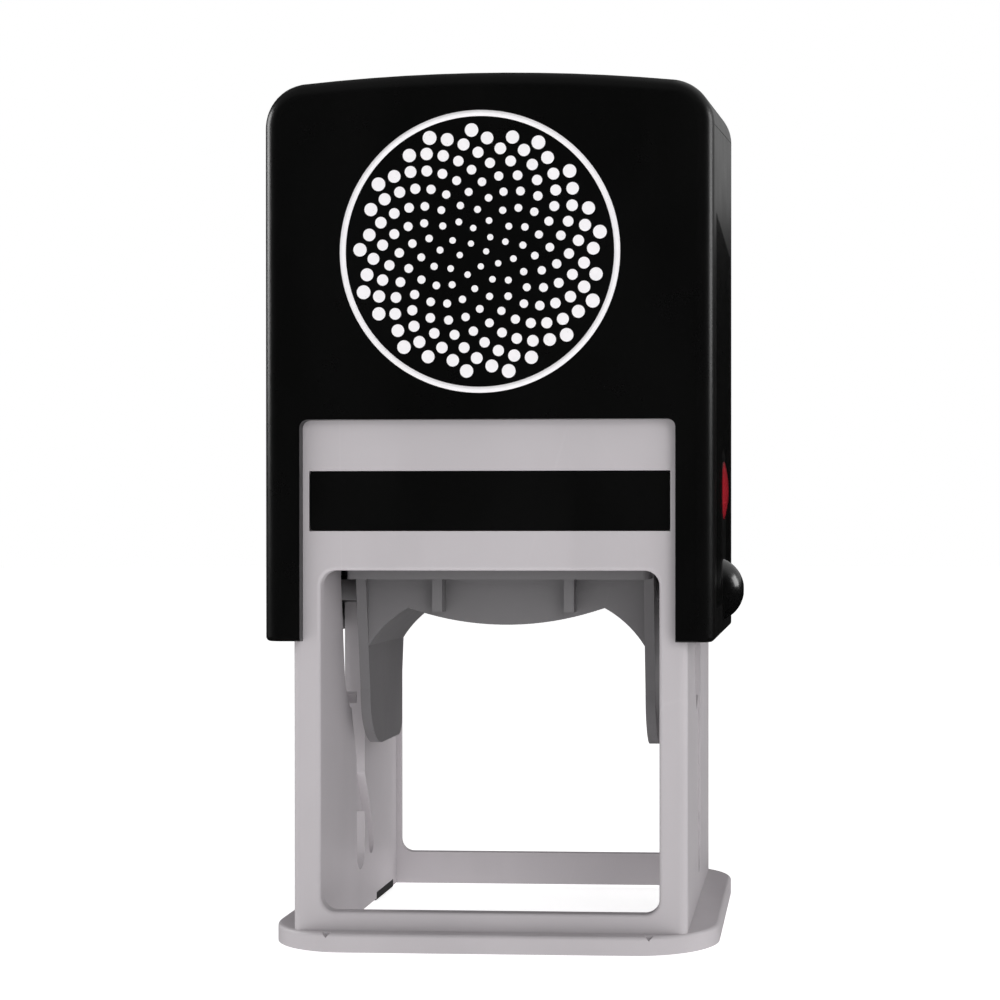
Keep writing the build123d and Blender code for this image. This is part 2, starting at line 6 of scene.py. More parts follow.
import bmesh
import bpy
from bpy.props import FloatProperty, FloatVectorProperty, IntProperty, PointerProperty
from mathutils import Matrix, Vector, noise


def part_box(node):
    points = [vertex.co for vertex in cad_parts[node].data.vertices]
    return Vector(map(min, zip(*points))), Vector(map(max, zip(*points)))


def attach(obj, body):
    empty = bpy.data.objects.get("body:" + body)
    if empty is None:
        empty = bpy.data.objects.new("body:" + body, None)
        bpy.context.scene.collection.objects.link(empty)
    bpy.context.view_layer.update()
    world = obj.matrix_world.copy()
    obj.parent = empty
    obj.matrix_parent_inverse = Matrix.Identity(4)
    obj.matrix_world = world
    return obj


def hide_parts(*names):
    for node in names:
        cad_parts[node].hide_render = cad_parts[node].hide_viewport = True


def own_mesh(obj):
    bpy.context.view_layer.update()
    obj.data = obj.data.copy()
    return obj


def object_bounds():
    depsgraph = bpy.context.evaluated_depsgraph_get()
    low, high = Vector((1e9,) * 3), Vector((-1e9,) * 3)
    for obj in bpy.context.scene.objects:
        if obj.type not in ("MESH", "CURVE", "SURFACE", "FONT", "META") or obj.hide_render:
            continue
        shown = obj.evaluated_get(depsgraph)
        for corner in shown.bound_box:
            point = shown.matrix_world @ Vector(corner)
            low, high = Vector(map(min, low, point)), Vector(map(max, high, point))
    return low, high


bl_info = {
    "name": "Self-inking hand stamp",
    "version": (1, 0, 0),
    "blender": (4, 5, 0),
    "location": "3D View > Sidebar > Stamp",
    "description": "Finishes, printed badge, felt, foam and coil of a self-inking hand stamp",
    "category": "Object",
}

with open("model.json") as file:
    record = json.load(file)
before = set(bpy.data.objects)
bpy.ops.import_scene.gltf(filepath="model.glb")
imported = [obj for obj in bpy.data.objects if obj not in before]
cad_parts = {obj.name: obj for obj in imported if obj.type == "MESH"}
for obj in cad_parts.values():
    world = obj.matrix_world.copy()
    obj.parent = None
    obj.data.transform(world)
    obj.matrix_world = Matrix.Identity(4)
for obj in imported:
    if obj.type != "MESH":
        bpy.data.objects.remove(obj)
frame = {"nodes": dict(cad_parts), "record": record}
CAD_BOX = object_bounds()
MM = 0.001
SLOT_COLOURS = {m["slot"]: m["base_color"] for m in frame["record"]["materials"]}
CAP_LOW, CAP_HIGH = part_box("cap_shell")
FELT_LOW, FELT_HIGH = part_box("ink_felt")
FOAM_LOW, FOAM_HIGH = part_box("die_cushion")
COIL_LOW, COIL_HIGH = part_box("return_spring")
DIE_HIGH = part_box("rubber_die")[1]
CARD_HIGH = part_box("index_card")[1]
JOINTS = {joint["name"]: joint for joint in frame["record"]["behaviour"]["joints"]}
CAP_TRAVEL = JOINTS["cap_press"]["range_m"][1]


# ------------------------------------------------------------------ node trees


class Value:
    """One socket's output in a node tree. Arithmetic on it adds Math nodes."""

    def __init__(self, bench, socket):
        self.bench = bench
        self.socket = socket

    def maths(self, operation, *terms):
        return self.bench.node("ShaderNodeMath", {"operation": operation}, dict(enumerate(terms)))

    def __add__(self, other):
        return self.maths("ADD", self, other)

    def __radd__(self, other):
        return self.maths("ADD", other, self)

    def __sub__(self, other):
        return self.maths("SUBTRACT", self, other)

    def __rsub__(self, other):
        return self.maths("SUBTRACT", other, self)

    def __mul__(self, other):
        return self.maths("MULTIPLY", self, other)

    def __rmul__(self, other):
        return self.maths("MULTIPLY", other, self)

    def __truediv__(self, other):
        return self.maths("DIVIDE", self, other)

    def __pow__(self, other):
        return self.maths("POWER", self, other)

    def __lt__(self, other):
        return self.maths("LESS_THAN", self, other)

    def __abs__(self):
        return self.maths("ABSOLUTE", self)

    def at_most(self, other):
        return self.maths("MINIMUM", self, other)

    def at_least(self, other):
        return self.maths("MAXIMUM", self, other)

    def cosine(self):
        return self.maths("COSINE", self)

    def sine(self):
        return self.maths("SINE", self)


class Bench:
    """Builds one node tree: node() adds any node, and arithmetic on Values adds the maths."""

    def __init__(self, tree):
        self.tree = tree

    def node(self, kind, settings=None, sockets=None, output=0):
        """A node of that kind, with its settings made first, and then its sockets' values or links."""
        made = self.tree.nodes.new(kind)
        for key, value in (settings or {}).items():
            if key == "stops":
                ramp = made.color_ramp.elements
                while len(ramp) < len(value):
                    ramp.new(1.0)
                for stop, (place, colour) in zip(ramp, value):
                    stop.position = place
                    stop.color = colour
            else:
                setattr(made, key, value)
        for key, value in (sockets or {}).items():
            for one in value if isinstance(value, list) else [value]:
                if isinstance(one, Value):
                    self.tree.links.new(one.socket, made.inputs[key])
                else:
                    made.inputs[key].default_value = one
        return Value(self, made.outputs[output]) if made.outputs else None

    def split(self, vector):
        """The x, y and z of a vector."""
        x = self.node("ShaderNodeSeparateXYZ", {}, {0: vector})
        return [Value(self, out) for out in x.socket.node.outputs]

    def vector(self, x, y, z):
        return self.node("ShaderNodeCombineXYZ", {}, {0: x, 1: y, 2: z})

    def asked(self, **kinds):
        """Named inputs of the tree, as Values, in the order given."""
        for name, kind in kinds.items():
            self.tree.interface.new_socket(name=name, in_out="INPUT", socket_type=kind)
        source = self.tree.nodes.new("NodeGroupInput")
        return [Value(self, source.outputs[name]) for name in kinds]

    def give(self, geometry):
        self.tree.interface.new_socket(name="Geometry", in_out="OUTPUT", socket_type="NodeSocketGeometry")
        self.node("NodeGroupOutput", {}, {"Geometry": geometry})


def geometry_bench(name):
    return Bench(bpy.data.node_groups.new(name, "GeometryNodeTree"))


def finish_tree(bench, parts, material, centre, turn):
    """Joins the parts, puts them in their place and gives them their finish."""
    joined = bench.node("GeometryNodeJoinGeometry", {}, {"Geometry": parts[::-1]})
    moved = bench.node(
        "GeometryNodeTransform", {}, {"Geometry": joined, "Translation": centre, "Rotation": turn}
    )
    real = bench.node("GeometryNodeRealizeInstances", {}, {"Geometry": moved})
    bench.give(bench.node("GeometryNodeSetMaterial", {}, {"Geometry": real, "Material": material}))


def grow(name, tree, values):
    """A plain mesh object made by a geometry tree with these input values."""
    carrier = bpy.data.objects.new("carrier", bpy.data.meshes.new("carrier"))
    bpy.context.scene.collection.objects.link(carrier)
    modifier = carrier.modifiers.new("grow", "NODES")
    modifier.node_group = tree
    for item in tree.interface.items_tree:
        if item.in_out == "INPUT":
            modifier[item.identifier] = values[item.name]
    graph = bpy.context.evaluated_depsgraph_get()
    mesh = bpy.data.meshes.new_from_object(carrier.evaluated_get(graph))
    bpy.data.objects.remove(carrier)
    if not mesh.polygons:
        raise RuntimeError(f"the tree {tree.name} made nothing for {name}")
    mesh.name = name
    return link(name, mesh)


def link(name, mesh):
    made = bpy.data.objects.new(name, mesh)
    bpy.context.scene.collection.objects.link(made)
    return made


def fit_out(obj, body, slot, *replaced):
    """Sends a finished piece to its body and hides the nodes that it stands for; the slot is not used."""
    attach(obj, body)
    if replaced:
        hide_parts(*replaced)


# ------------------------------------------------------------------ finishes


def start_finish(name):
    material = bpy.data.materials.new(name)
    material.use_nodes = True
    material.node_tree.nodes.clear()
    return material, Bench(material.node_tree)


def position(bench, stretch=(1, 1, 1)):
    """Where a point is on the object, in metres, stretched along each axis."""
    where = bench.node("ShaderNodeTexCoord", output="Object")
    return bench.node("ShaderNodeMapping", {}, {"Vector": where, "Scale": stretch})


def cloud(bench, where, size, detail=2.0, distortion=0.0):
    """Soft noise from 0 to 1, in lumps about size metres wide."""
    return bench.node(
        "ShaderNodeTexNoise",
        {},
        {"Vector": where, "Scale": 1 / size, "Detail": detail, "Distortion": distortion},
    )


def cells(bench, where, size, feature="F1"):
    """Distance from the middle, or from the edge, of cells about size metres wide."""
    return bench.node("ShaderNodeTexVoronoi", {"feature": feature}, {"Vector": where, "Scale": 1 / size})


def ramp(bench, amount, low, high):
    """0 below low and 1 above high, smooth between."""
    return bench.node(
        "ShaderNodeMapRange",
        {"interpolation_type": "SMOOTHSTEP", "clamp": True},
        {"Value": amount, "From Min": low, "From Max": high},
    )


def mix(bench, amount, first, second):
    """first where amount is 0, and second where it is 1."""
    return bench.node(
        "ShaderNodeMix", {"data_type": "RGBA"}, {"Factor": amount, 6: first, 7: second}, output=2
    )


def opaque(colour, times=1.0):
    return (*(c * times for c in colour), 1.0)


def relief(bench, height, depth):
    """The normal of a surface that stands out by depth metres where height is 1."""
    return bench.node("ShaderNodeBump", {}, {"Height": height, "Distance": depth})


def coat_with(bench, colour, roughness, normal, **constants):
    """Ends a finish: one principled surface, with its constants on its own sockets."""
    sockets = {"Base Color": colour, "Roughness": roughness, "Normal": normal}
    sockets.update({key.replace("_", " "): value for key, value in constants.items()})
    surface = bench.node("ShaderNodeBsdfPrincipled", {}, sockets)
    bench.node("ShaderNodeOutputMaterial", {}, {"Surface": surface})


def scratches(bench, where, size, share):
    """Fine hairlines: the edges of long thin cells, kept only in patches."""
    edge = cells(bench, where, size, "DISTANCE_TO_EDGE")
    patch = ramp(bench, cloud(bench, where, size * 2), 1 - share, 1 - share / 2)
    return (1 - ramp(bench, edge, 0.0, 0.012)) * patch


def moulded(name, colour, gloss, grain_size, grain_depth, mottle, wear, **constants):
    """Injection-moulded plastic: spark-eroded grain, faint flow, uneven sheen and light handling."""
    material, bench = start_finish(name)
    where = position(bench)
    grain = cloud(bench, where, grain_size, 3.0)
    flow = cloud(bench, position(bench, (1, 1, 0.4)), 14 * MM, 3.0, 0.6)
    handled = cloud(bench, where, 6 * MM, 4.0)
    hairline = scratches(bench, position(bench, (1, 1, 0.25)), 9 * MM, 0.5)
    body = mix(bench, ramp(bench, flow, 0.3, 0.7), opaque(colour, 1 - mottle), opaque(colour, 1 + mottle))
    worn = mix(bench, hairline * wear, body, opaque(colour, 1.5))
    sheen = gloss + (handled - 0.5) * 0.12 + (grain - 0.5) * 0.08 + hairline * wear * 0.2
    coat_with(bench, worn, sheen, relief(bench, grain, grain_depth), **constants)
    return material


def frame_plastic(finish):
    return moulded(
        "frame_moulding", finish.frame_colour, gloss=0.42,
        grain_size=0.32 * MM, grain_depth=0.012 * MM, mottle=0.025, wear=0.1,
    )


def platen_plastic(finish):
    # Painted shade: the platen's grey is darkened by the platen shade factor, standing in for the shade that
    # falls on it inside the frame.
    painted_shade_colour = opaque(finish.platen_colour, finish.painted_shade_platen)[:3]
    return moulded(
        "platen_moulding", painted_shade_colour, gloss=0.45,
        grain_size=0.4 * MM, grain_depth=0.014 * MM, mottle=0.03, wear=0.1,
    )


def black_gloss(name, finish):
    return moulded(
        name, finish.cap_colour, gloss=0.3,
        grain_size=0.3 * MM, grain_depth=0.006 * MM, mottle=0.15, wear=0.06, IOR=1.46,
    )


def cap_plastic(finish):
    return black_gloss("cap_moulding", finish)


def cover_plastic(finish):
    return black_gloss("cover_moulding", finish)


def axle_plastic(finish):
    return moulded(
        "axle_moulding", finish.cap_colour, gloss=0.26, grain_size=0.5 * MM,
        grain_depth=0.004 * MM, mottle=0.15, wear=0.4, Coat_Weight=0.6, Coat_Roughness=0.12,
    )


def tray_plastic(finish):
    return moulded(
        "tray_moulding", finish.cap_colour, gloss=0.55,
        grain_size=0.25 * MM, grain_depth=0.015 * MM, mottle=0.2, wear=0.2,
    )


def button_plastic(finish):
    return moulded(
        "button_moulding", finish.button_colour, gloss=0.25, grain_size=0.4 * MM,
        grain_depth=0.004 * MM, mottle=0.06, wear=0.1, Coat_Weight=0.5, Coat_Roughness=0.1,
    )


def inked_felt(finish):
    """Pressed wool felt, soaked with ink: tangled fibres, wetter and darker in patches."""
    material, bench = start_finish("inked_felt")
    where = position(bench)
    tangle = cloud(bench, where, 0.22 * MM, 6.0, 2.5)
    fibres = cells(bench, position(bench, (1, 3, 1)), 0.4 * MM, "DISTANCE_TO_EDGE")
    wet = ramp(bench, cloud(bench, where, 7 * MM, 3.0), 0.35, 0.65)
    dry = mix(bench, tangle, opaque(finish.felt_colour, 0.6), opaque(finish.felt_colour, 2.4))
    soaked = mix(bench, tangle, opaque(finish.felt_colour, 0.3), opaque(finish.felt_colour, 0.9))
    colour = mix(bench, wet, dry, soaked)
    pile = relief(bench, tangle + fibres.at_most(0.3), 0.12 * MM)
    coat_with(bench, colour, 0.9 - wet * 0.5, pile, Sheen_Weight=0.2, Sheen_Roughness=0.5)
    return material


def foam(finish):
    """Closed-cell foam: round cells of two sizes."""
    material, bench = start_finish("cushion_foam_cells")
    where = position(bench)
    coarse = cells(bench, where, 0.35 * MM)
    fine = cells(bench, where, 0.16 * MM)
    pore = ramp(bench, coarse, 0.2, 0.6) * 0.7 + ramp(bench, fine, 0.2, 0.6) * 0.3
    colour = mix(bench, pore, opaque(finish.foam_colour, 1.3), opaque(finish.foam_colour, 0.6))
    coat_with(bench, colour, 0.75 + pore * 0.15, relief(bench, 1 - pore, 0.06 * MM))
    return material


def stamp_rubber(finish):
    """Laser-cut rubber: dusty in the cut-away, inked and slightly shiny on the raised face."""
    material, bench = start_finish("die_rubber_inked")
    where = position(bench)
    _, _, height = bench.split(where)
    burn = cloud(bench, position(bench, (1, 12, 1)), 1.6 * MM, 3.0)
    speck = cloud(bench, where, 0.25 * MM, 3.0)
    raised = ramp(bench, height, DIE_HIGH.z - 0.25 * MM, DIE_HIGH.z - 0.05 * MM)
    patchy = raised * ramp(bench, cloud(bench, where, 4 * MM, 3.0), 0.1, 0.4)
    bare = mix(bench, burn, opaque(finish.rubber_colour, 0.7), opaque(finish.rubber_colour, 1.2))
    colour = mix(bench, patchy, bare, opaque(finish.felt_colour, 0.8))
    coat_with(bench, colour, 0.72 + speck * 0.15 - patchy * 0.4, relief(bench, burn + speck * 0.5, 0.03 * MM))
    return material


def foot_rubber(finish):
    """Matt rubber, a little grey with dust on its rubbed underside."""
    material, bench = start_finish("foot_rubber")
    where = position(bench)
    _, _, height = bench.split(where)
    speck = cloud(bench, where, 0.3 * MM, 4.0)
    rubbed = (1 - ramp(bench, height, 0.0, 0.3 * MM)) * cloud(bench, where, 2 * MM, 3.0)
    base = mix(bench, speck, opaque(finish.foot_colour, 0.7), opaque(finish.foot_colour, 1.5))
    colour = mix(bench, rubbed, base, opaque(finish.foot_colour, 5.0))
    coat_with(bench, colour, 0.8 + speck * 0.12, relief(bench, speck, 0.03 * MM))
    return material


def spring_wire(finish):
    """Drawn spring steel: fine streaks, a thin film of oil and a few darker turns."""
    material, bench = start_finish("spring_wire")
    where = position(bench)
    streak = cloud(bench, position(bench, (1, 1, 9)), 0.8 * MM, 4.0)
    oil = ramp(bench, cloud(bench, where, 5 * MM, 3.0), 0.4, 0.65)
    bright = mix(bench, streak, opaque(finish.steel_colour, 0.7), opaque(finish.steel_colour, 1.1))
    colour = mix(bench, oil, bright, opaque((0.38, 0.35, 0.3)))
    coat_with(bench, colour, 0.24 + streak * 0.2 - oil * 0.06, relief(bench, streak, 0.01 * MM), Metallic=1.0)
    return material


def index_card(finish):
    """Uncoated card with a printed border and a ring that shows the stamp's design."""
    material, bench = start_finish("index_card")
    where = position(bench)
    x, y, _ = bench.split(where)
    pulp = cloud(bench, where, 0.5 * MM, 5.0, 1.0)
    paper = mix(bench, pulp, opaque(finish.card_colour, 0.94), opaque(finish.card_colour, 1.04))
    border = 3 * MM
    line = 0.35 * MM
    inset_x = (abs(x) - (CARD_HIGH.x - border)).at_least(abs(y) - (CARD_HIGH.y - border))
    ring = abs((x * x + y * y) ** 0.5 - 9 * MM)
    printed = (abs(inset_x) < line / 2).at_least(ring < line)
    worn = printed * ramp(bench, cloud(bench, where, 0.6 * MM, 2.0), 0.2, 0.45)
    colour = mix(bench, worn, paper, opaque((0.05, 0.05, 0.07)))
    coat_with(bench, colour, 0.82 + pulp * 0.1, relief(bench, pulp, 0.02 * MM))
    return material


def badge_ink(finish):
    """Thick white pad-print, slightly uneven, with pinholes."""
    material, bench = start_finish("badge_ink")
    where = position(bench)
    uneven = cloud(bench, where, 1.1 * MM, 4.0)
    pinhole = cells(bench, where, 0.7 * MM) < 0.06
    white = mix(bench, uneven, opaque(finish.print_colour, 0.93), opaque(finish.print_colour, 1.04))
    colour = mix(bench, pinhole, white, opaque(finish.print_colour, 0.5))
    coat_with(bench, colour, 0.5 + uneven * 0.15, relief(bench, uneven, 0.01 * MM))
    return material


SLOT_FINISHES = {
    "frame_grey": frame_plastic,
    "platen_grey": platen_plastic,
    "cap_black": cap_plastic,
    "cover_black": cover_plastic,
    "axle_black": axle_plastic,
    "tray_black": tray_plastic,
    "lock_red": button_plastic,
    "felt_inked": inked_felt,
    "card_white": index_card,
    "foot_rubber": foot_rubber,
    "cushion_foam": foam,
    "die_rubber": stamp_rubber,
    "spring_steel": spring_wire,
    "badge_ink": badge_ink,
}


def finish_for(slot):
    """The finish of a slot, made the first time that it is asked for."""
    tag = f"finish_{slot}"
    for material in bpy.data.materials:
        if material.get("finish_tag") == tag:
            return material
    made = SLOT_FINISHES[slot](bpy.context.scene.stamp_finish)
    made["finish_tag"] = tag
    return made


# ------------------------------------------------------------------ pieces in mesh code


def soft_slab(name, low, high, cuts, rounding, pull, barrel, crown, fuzz):
    """A closed slab inside its box: rounded edges, sides that draw in between the corners,
    a crown on its lower face and a fine unevenness all over."""
    half = (high - low) / 2
    middle = (high + low) / 2
    bm = bmesh.new()
    bmesh.ops.create_cube(bm, size=2)
    upright = [e for e in bm.edges if abs(e.verts[0].co.z - e.verts[1].co.z) > 1]
    bmesh.ops.subdivide_edges(bm, edges=upright, cuts=cuts // 5, use_grid_fill=True)
    flat = [e for e in bm.edges if abs(e.verts[0].co.z - e.verts[1].co.z) < 1e-6]
    bmesh.ops.subdivide_edges(bm, edges=flat, cuts=cuts, use_grid_fill=True)
    reach = half - Vector((rounding, rounding, rounding))
    for vert in bm.verts:
        u, v, w = (math.sin(c * math.pi / 2) for c in vert.co)
        x = u * (half.x - pull * (1 - v * v) - barrel * w * w)
        y = v * (half.y - pull * (1 - u * u) - barrel * w * w)
        z = w * half.z
        if w < 0:
            z += crown * max(abs(u), abs(v)) ** 4 * -w
        side = max((abs(x) - reach.x) / rounding, (abs(y) - reach.y) / rounding, 0.0)
        face = max((abs(z) - reach.z) / rounding, 0.0)
        if side > 0 and face > 0:
            side, face = min(side, 1.0), min(face, 1.0)
            inwards = rounding * side * (1 - math.sqrt(1 - face * face / 2))
            x -= math.copysign(min(inwards, abs(x)), x) * (abs(x) > reach.x)
            y -= math.copysign(min(inwards, abs(y)), y) * (abs(y) > reach.y)
            z -= math.copysign(rounding * face * (1 - math.sqrt(1 - side * side / 2)), z)
        point = Vector((x, y, z))
        lump = noise.noise(point / (1.4 * MM)) + 0.5 * noise.noise(point / (0.5 * MM))
        point *= 1 - fuzz / half.length * (1 + lump)
        vert.co = middle + point
    bmesh.ops.recalc_face_normals(bm, faces=bm.faces)
    for face in bm.faces:
        face.smooth = True
    mesh = bpy.data.meshes.new(name)
    bm.to_mesh(mesh)
    bm.free()
    return link(name, mesh)


def badge_tree():
    """A field of round dots set out by the golden angle, inside a thin ring, facing up."""
    bench = geometry_bench("printed_badge")
    count, field, small, large, ring, band, depth, centre, turn, material = bench.asked(
        Dots="NodeSocketInt",
        Field_Radius="NodeSocketFloat",
        Small_Dot="NodeSocketFloat",
        Large_Dot="NodeSocketFloat",
        Ring_Radius="NodeSocketFloat",
        Ring_Width="NodeSocketFloat",
        Depth="NodeSocketFloat",
        Centre="NodeSocketVector",
        Turn="NodeSocketVector",
        Material="NodeSocketMaterial",
    )
    index = bench.node("GeometryNodeInputIndex")
    share = (index + 0.5) / count
    angle = index * (math.pi * (3 - math.sqrt(5)))
    out = field * share**0.5
    place = bench.vector(out * angle.cosine(), out * angle.sine(), 0.0)
    points = bench.node("GeometryNodePoints", {}, {"Count": count, "Position": place})
    dot = bench.node(
        "GeometryNodeMeshCone",
        {"fill_type": "NGON"},
        {"Vertices": 20, "Radius Top": 0.94, "Radius Bottom": 1.0, "Depth": 1.0},
    )
    size = small + (large - small) * share
    dots = bench.node(
        "GeometryNodeInstanceOnPoints",
        {},
        {"Points": points, "Instance": dot, "Scale": bench.vector(size, size, depth)},
    )
    circle = bench.node("GeometryNodeCurvePrimitiveCircle", {}, {"Resolution": 128, "Radius": ring})
    strip = bench.node("GeometryNodeCurvePrimitiveQuadrilateral", {}, {"Width": band, "Height": depth})
    hoop = bench.node("GeometryNodeCurveToMesh", {}, {"Curve": circle, "Profile Curve": strip})
    raised = bench.node(
        "GeometryNodeTransform", {}, {"Geometry": hoop, "Translation": bench.vector(0.0, 0.0, depth / 2)}
    )
    finish_tree(bench, [dots, raised], material, centre, turn)
    return bench.tree


def coil_tree():
    """A compression spring standing on Z, with a closed turn at each end."""
    bench = geometry_bench("compression_spring")
    turns, steps, radius, wire, height, centre, turn, material = bench.asked(
        Turns="NodeSocketFloat",
        Steps="NodeSocketInt",
        Mean_Radius="NodeSocketFloat",
        Wire="NodeSocketFloat",
        Height="NodeSocketFloat",
        Centre="NodeSocketVector",
        Turn="NodeSocketVector",
        Material="NodeSocketMaterial",
    )
    index = bench.node("GeometryNodeInputIndex")
    wound = index / (steps - 1) * turns
    pitch = (height - 3 * wire) / (turns - 2)
    closed = wound.at_most(1.0) + (wound - (turns - 1)).at_least(0.0)
    rise = wire * (0.5 + closed) + pitch * (wound - 1).at_least(0.0).at_most(turns - 2)
    angle = wound * (2 * math.pi)
    spot = bench.vector(radius * angle.cosine(), radius * angle.sine(), rise)
    line = bench.node("GeometryNodeMeshLine", {}, {"Count": steps})
    bent = bench.node("GeometryNodeSetPosition", {}, {"Geometry": line, "Position": spot})
    path = bench.node("GeometryNodeMeshToCurve", {}, {"Mesh": bent})
    section = bench.node("GeometryNodeCurvePrimitiveCircle", {}, {"Resolution": 14, "Radius": wire / 2})
    tube = bench.node(
        "GeometryNodeCurveToMesh", {}, {"Curve": path, "Profile Curve": section, "Fill Caps": True}
    )
    finish_tree(bench, [tube], material, centre, turn)
    return bench.tree


# ------------------------------------------------------------------ settings


def length(name, description, default):
    return FloatProperty(name=name, description=description, default=default, unit="LENGTH", precision=5)


def colour(name, description, default):
    return FloatVectorProperty(
        name=name, description=description, default=default, subtype="COLOR", min=0.0, max=1.0
    )


class StampFinish(bpy.types.PropertyGroup):
    """Colours of the stamp's plastics, rubbers, felt, card and metal."""

    frame_colour: colour("Frame", "Light grey of the base frame", SLOT_COLOURS["frame_grey"])
    platen_colour: colour("Platen", "Grey of the platen and its die plate", SLOT_COLOURS["platen_grey"])
    cap_colour: colour("Cap", "Black of the cap, cover, axle and tray", SLOT_COLOURS["cap_black"])
    # Painted shade: this factor darkens the platen's colour everywhere, standing in for the shade it lies in
    # inside the frame.
    painted_shade_platen: FloatProperty(name="Platen shade", description="Darkening of the platen", default=0.65)
    button_colour: colour("Buttons", "Red of the lock buttons", SLOT_COLOURS["lock_red"])
    felt_colour: colour("Felt", "Colour of the inked felt", SLOT_COLOURS["felt_inked"])
    foam_colour: colour("Foam", "Colour of the die's cushion", SLOT_COLOURS["cushion_foam"])
    rubber_colour: colour("Die", "Colour of the die's bare rubber", SLOT_COLOURS["die_rubber"])
    foot_colour: colour("Feet", "Colour of the rubber feet", SLOT_COLOURS["foot_rubber"])
    steel_colour: colour("Steel", "Colour of the spring wire", SLOT_COLOURS["spring_steel"])
    card_colour: colour("Card", "Colour of the index card", SLOT_COLOURS["card_white"])
    print_colour: colour("Print", "White of the badge on the cap", (0.95, 0.93, 0.95))


class StampBadge(bpy.types.PropertyGroup):
    """Sizes of the badge printed on the cap's front."""

    dots: IntProperty(name="Dots", description="Number of dots in the field", default=172, min=3)
    field_radius: length("Field radius", "Radius of the field of dots", 16.6 * MM)
    small_dot: length("Small dot", "Radius of the innermost dots", 0.42 * MM)
    large_dot: length("Large dot", "Radius of the outermost dots", 0.95 * MM)
    ring_radius: length("Ring radius", "Middle radius of the ring", 18.4 * MM)
    ring_width: length("Ring width", "Width of the ring", 0.8 * MM)
    depth: length("Depth", "Thickness of the printed ink", 0.05 * MM)
    sunk: length("Sunk", "How far the ink's back lies inside the cap's face", 0.01 * MM)
    side_shift: length("Side shift", "From the cap's middle to the badge's middle", -0.9 * MM)
    below_top: length("Below the top", "From the cap's highest point to the badge's middle", 32.2 * MM)


class StampSoft(bpy.types.PropertyGroup):
    """Sizes of the felt pad and of the foam cushion."""

    cuts: IntProperty(name="Cuts", description="Divisions along each side", default=60, min=10)
    felt_rounding: length("Felt rounding", "Rounding of the felt's edges", 0.5 * MM)
    felt_pull: length("Felt pull", "How far the felt's sides draw in between its corners", 0.35 * MM)
    felt_crown: length("Felt crown", "How much lower the felt hangs in its middle", 0.4 * MM)
    felt_fuzz: length("Felt fuzz", "Unevenness of the felt's surface", 0.05 * MM)
    foam_rounding: length("Foam rounding", "Rounding of the foam's edges", 0.25 * MM)
    foam_barrel: length("Foam barrel", "How far the foam's sides swell", 0.25 * MM)
    foam_fuzz: length("Foam fuzz", "Unevenness of the foam's surface", 0.015 * MM)


class StampCoil(bpy.types.PropertyGroup):
    """Sizes of the return spring's coil."""

    turns: FloatProperty(name="Turns", description="Number of turns, closed ends included", default=8.0)
    steps_per_turn: IntProperty(name="Steps", description="Divisions in each turn", default=40, min=8)
    wire: length("Wire", "Diameter of the spring wire", 1.2 * MM)


class StampStage(bpy.types.PropertyGroup):
    """Camera, floor and light."""

    eye: FloatVectorProperty(
        name="Camera",
        description="Where the camera stands",
        default=(0.04362, -0.29153, 0.05523),
        subtype="TRANSLATION",
        unit="LENGTH",
    )
    turned: FloatProperty(
        name="Turned", description="Camera's turn to the left of straight ahead", default=math.radians(3.3),
        subtype="ANGLE",
    )
    tipped: FloatProperty(
        name="Tipped", description="Camera's tilt below the horizon", default=math.radians(0.25),
        subtype="ANGLE",
    )
    lens: FloatProperty(name="Lens", description="Focal length in millimetres", default=71.58)
    shift_x: FloatProperty(name="Shift X", description="Sideways shift of the lens", default=-0.2)
    shift_y: FloatProperty(name="Shift Y", description="Upward shift of the lens", default=0.05)
    floor_radius: length("Floor radius", "Radius of the pale floor", 4.0)
    daylight: FloatProperty(name="Room", description="Brightness of the white room", default=0.36)
    card_tone: FloatProperty(name="Card", description="Brightness of the card in reflections", default=0.4)
    ceiling_tone: FloatProperty(
        name="Ceiling", description="Brightness of the ceiling in reflections", default=0.12
    )
    dark_tone: FloatProperty(name="Dark", description="Brightness of the rest in reflections", default=0.002)
    floor_glow: FloatProperty(name="Floor glow", description="How much the floor shines", default=0.72)
    floor_drop: length("Floor drop", "How far the floor lies under the feet", 0.05 * MM)


# ------------------------------------------------------------------ operators


class StampOperator:
    """What the stamp's operators share."""

    bl_options = {"REGISTER", "UNDO"}


class STAMP_OT_finishes(StampOperator, bpy.types.Operator):
    """Give every node of the frame its finish"""

    bl_idname = "stamp.finishes"
    bl_label = "Finish the frame's parts"

    def execute(self, context):
        for part in frame["record"]["subparts"]:
            for place in frame["nodes"][part["node"]].material_slots:
                place.material = finish_for(part["material_slot"])
        return {"FINISHED"}


class STAMP_OT_badge(StampOperator, bpy.types.Operator):
    """Print the badge on the cap's front"""

    bl_idname = "stamp.badge"
    bl_label = "Print the badge"

    def execute(self, context):
        badge = context.scene.stamp_badge
        centre = (badge.side_shift, CAP_LOW.y + badge.sunk, CAP_HIGH.z - badge.below_top)
        obj = grow(
            "front_badge",
            badge_tree(),
            {
                "Dots": badge.dots,
                "Field_Radius": badge.field_radius,
                "Small_Dot": badge.small_dot,
                "Large_Dot": badge.large_dot,
                "Ring_Radius": badge.ring_radius,
                "Ring_Width": badge.ring_width,
                "Depth": badge.depth + badge.sunk,
                "Centre": centre,
                "Turn": (math.pi / 2, 0.0, 0.0),
                "Material": finish_for("badge_ink"),
            },
        )
        fit_out(obj, "cap", "card_white")
        return {"FINISHED"}


